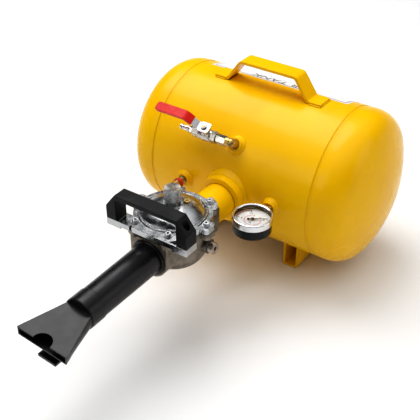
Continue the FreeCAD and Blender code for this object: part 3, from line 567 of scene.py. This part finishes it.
def needle_counterweight():
    """A round weight on the tail of the needle, opposite its tip."""
    hub_to_tail, weight_r, blade, hub_above_blade = 6.0 * MM, 2.0 * MM, 0.8 * MM, 0.5 * MM
    tail = Vector((math.cos(NEEDLE_ZERO), math.sin(NEEDLE_ZERO), 0)) * -hub_to_tail
    level = top("gauge_needle") - hub_above_blade - blade / 2
    place = Matrix.Translation(Vector((GAUGE.x, GAUGE.y, level)) + tail)
    bm = bmesh.new()
    bmesh.ops.create_cone(bm, cap_ends=True, segments=32, radius1=weight_r, radius2=weight_r,
                          depth=blade, matrix=place)
    add("needle_counterweight", finished(bm, "needle_counterweight"), "gauge_needle", "gauge_black")


def relief_thread():
    """The male thread that shows between the relief valve and its bung."""
    low, high = corners("relief_body")
    gap_from_front = 20 * MM
    centre = Vector(((low.x + high.x) / 2, low.y + gap_from_front, (low.z + high.z) / 2))
    radius, length, pitch = 5.2 * MM, 7.0 * MM, 1.34 * MM
    thread("relief_thread", centre, Vector((0, 1, 0)), radius, length, pitch, "tank", "brass")


def dial_screws(centre):
    """Two small screw heads that hold the dial."""
    bm = bmesh.new()
    head_r, crown_r, head, lift = 1.3 * MM, 1.0 * MM, 0.5 * MM, 0.35
    for x, y in ((-3.5, 10.6), (6.1, 11.4)):
        place = Matrix.Translation(centre + Vector((x, y, lift)) * MM)
        bmesh.ops.create_cone(bm, cap_ends=True, segments=24, radius1=head_r, radius2=crown_r,
                              depth=head, matrix=place)
    add("dial_screws", finished(bm, "dial_screws"), "tank", "brass")


def label_words():
    """Plain lettering on the label, wrapped round the tank and read from behind it."""
    low, high = corners("label")
    back, up = low.y - TANK_AXIS.y, high.z - TANK_AXIS.z
    radius = math.hypot(back, up)
    crown = math.atan2(back, up)
    ink = dial_ink("label_ink", (0.02, 0.02, 0.022)).material
    # words, letter size and distance of the line's middle from the label's upper edge
    lines = (("AIR TANK", 24 * MM, 15 * MM), ("CAPACITY 19 L", 11 * MM, 42 * MM),
             ("WEAR EYE AND EAR PROTECTION", 8 * MM, 62 * MM),
             ("RELEASE AIR BEFORE STORING", 8 * MM, 77 * MM),
             ("KEEP HANDS CLEAR OF THE NOZZLE", 8 * MM, 92 * MM))
    depth, gap, cell = 0.1 * MM, 0.06 * MM, 3 * MM
    bm = bmesh.new()
    for text, size, down in lines:
        line = bmesh.new()
        line.from_mesh(letters(text, size, depth))
        # cut into strips, so that the lettering can bend round the tank
        reach = math.ceil(size / cell)
        for k in range(-reach, reach + 1):
            bmesh.ops.bisect_plane(line, geom=line.verts[:] + line.edges[:] + line.faces[:],
                                   plane_co=(0, k * cell, 0), plane_no=(0, 1, 0))
        for vert in line.verts:
            angle = crown + (down - vert.co.y) / radius
            out = radius + gap + vert.co.z
            vert.co = TANK_AXIS + Vector((-vert.co.x, out * math.sin(angle), out * math.cos(angle)))
        wrapped = bpy.data.meshes.new("line")
        line.to_mesh(wrapped)
        line.free()
        bm.from_mesh(wrapped)
        bpy.data.meshes.remove(wrapped)
    add("label_words", finished(bm, "label_words"), "tank", "label_film", ink, smooth=False)


def stage():
    """Pale floor and soft studio light."""
    half_side = 60.0
    bm = bmesh.new()
    bmesh.ops.create_grid(bm, x_segments=2, y_segments=2, size=half_side)
    floor = bpy.data.objects.new("floor", finished(bm, "floor"))
    bpy.context.scene.collection.objects.link(floor)
    pale = Finish("pale_floor", (0.86, 0.86, 0.86), 0.6)
    pale.tint(pale.between(pale.noise(0.8, 2), 0.4, 0.7), (0.84, 0.84, 0.84))
    floor.data.materials.append(pale.material)
    floor.location.z = -0.2 * MM

    world = bpy.data.worlds.new("studio")
    bpy.context.scene.world = world
    world.use_nodes = True
    # A dark room with a bright ceiling: polished metal needs something dark to reflect.
    # Only a low band at the horizon is pale, so that the floor ends softly.
    tree = world.node_tree
    axes = tree.nodes.new("ShaderNodeSeparateXYZ")
    ramp = tree.nodes.new("ShaderNodeValToRGB")
    ceiling = 1.25
    steps = ((0.0, 0.40), (0.07, 0.25), (0.16, 0.04), (0.55, 0.04), (0.92, 1.0))
    while len(ramp.color_ramp.elements) < len(steps):
        ramp.color_ramp.elements.new(0.5)
    for element, (height, glow) in zip(ramp.color_ramp.elements, steps):
        element.position = height
        element.color = (glow, glow, glow, 1)
    strength = tree.nodes.new("ShaderNodeMath")
    strength.operation = "MULTIPLY"
    strength.inputs[1].default_value = ceiling
    tree.links.new(tree.nodes.new("ShaderNodeTexCoord").outputs["Generated"], axes.inputs[0])
    tree.links.new(axes.outputs["Z"], ramp.inputs["Fac"])
    tree.links.new(ramp.outputs["Color"], strength.inputs[0])
    tree.links.new(strength.outputs[0], tree.nodes["Background"].inputs["Strength"])
    tree.nodes["Background"].inputs["Color"].default_value = (1, 1, 1, 1)
    lamps = (("key", (-0.75, 0.45, 2.0), 1.5, 27), ("side", (1.9, 0.7, 0.9), 1.2, 6),
             ("front", (-0.9, -2.0, 1.3), 1.0, 6))
    target = Vector((0, 0, 0.12))
    for name, place, width, power in lamps:
        data = bpy.data.lights.new(name, "AREA")
        data.size, data.energy = width, power
        lamp = bpy.data.objects.new(name, data)
        lamp.location = place
        lamp.rotation_euler = (target - Vector(place)).to_track_quat("-Z", "Y").to_euler()
        bpy.context.scene.collection.objects.link(lamp)


def camera():
    """Looks down on the tank from its front right, without depth of field."""
    data = bpy.data.cameras.new("camera")
    data.lens, data.sensor_width = 70.7, 36
    data.dof.use_dof = False
    seen = bpy.data.objects.new("camera", data)
    seen.location = Vector((0.5915, -0.8172, 0.8580))
    target = Vector((-0.1172, 0.2040, -0.0104))
    seen.rotation_euler = (target - seen.location).to_track_quat("-Z", "Y").to_euler()
    bpy.context.scene.collection.objects.link(seen)
    bpy.context.scene.camera = seen


handle_welds()
foot_welds()
gauge_face()
needle_counterweight()
label_words()
relief_thread()
stage()
camera()
bpy.context.scene.view_settings.view_transform = "Standard"
bpy.context.scene.view_settings.look = "Medium High Contrast"
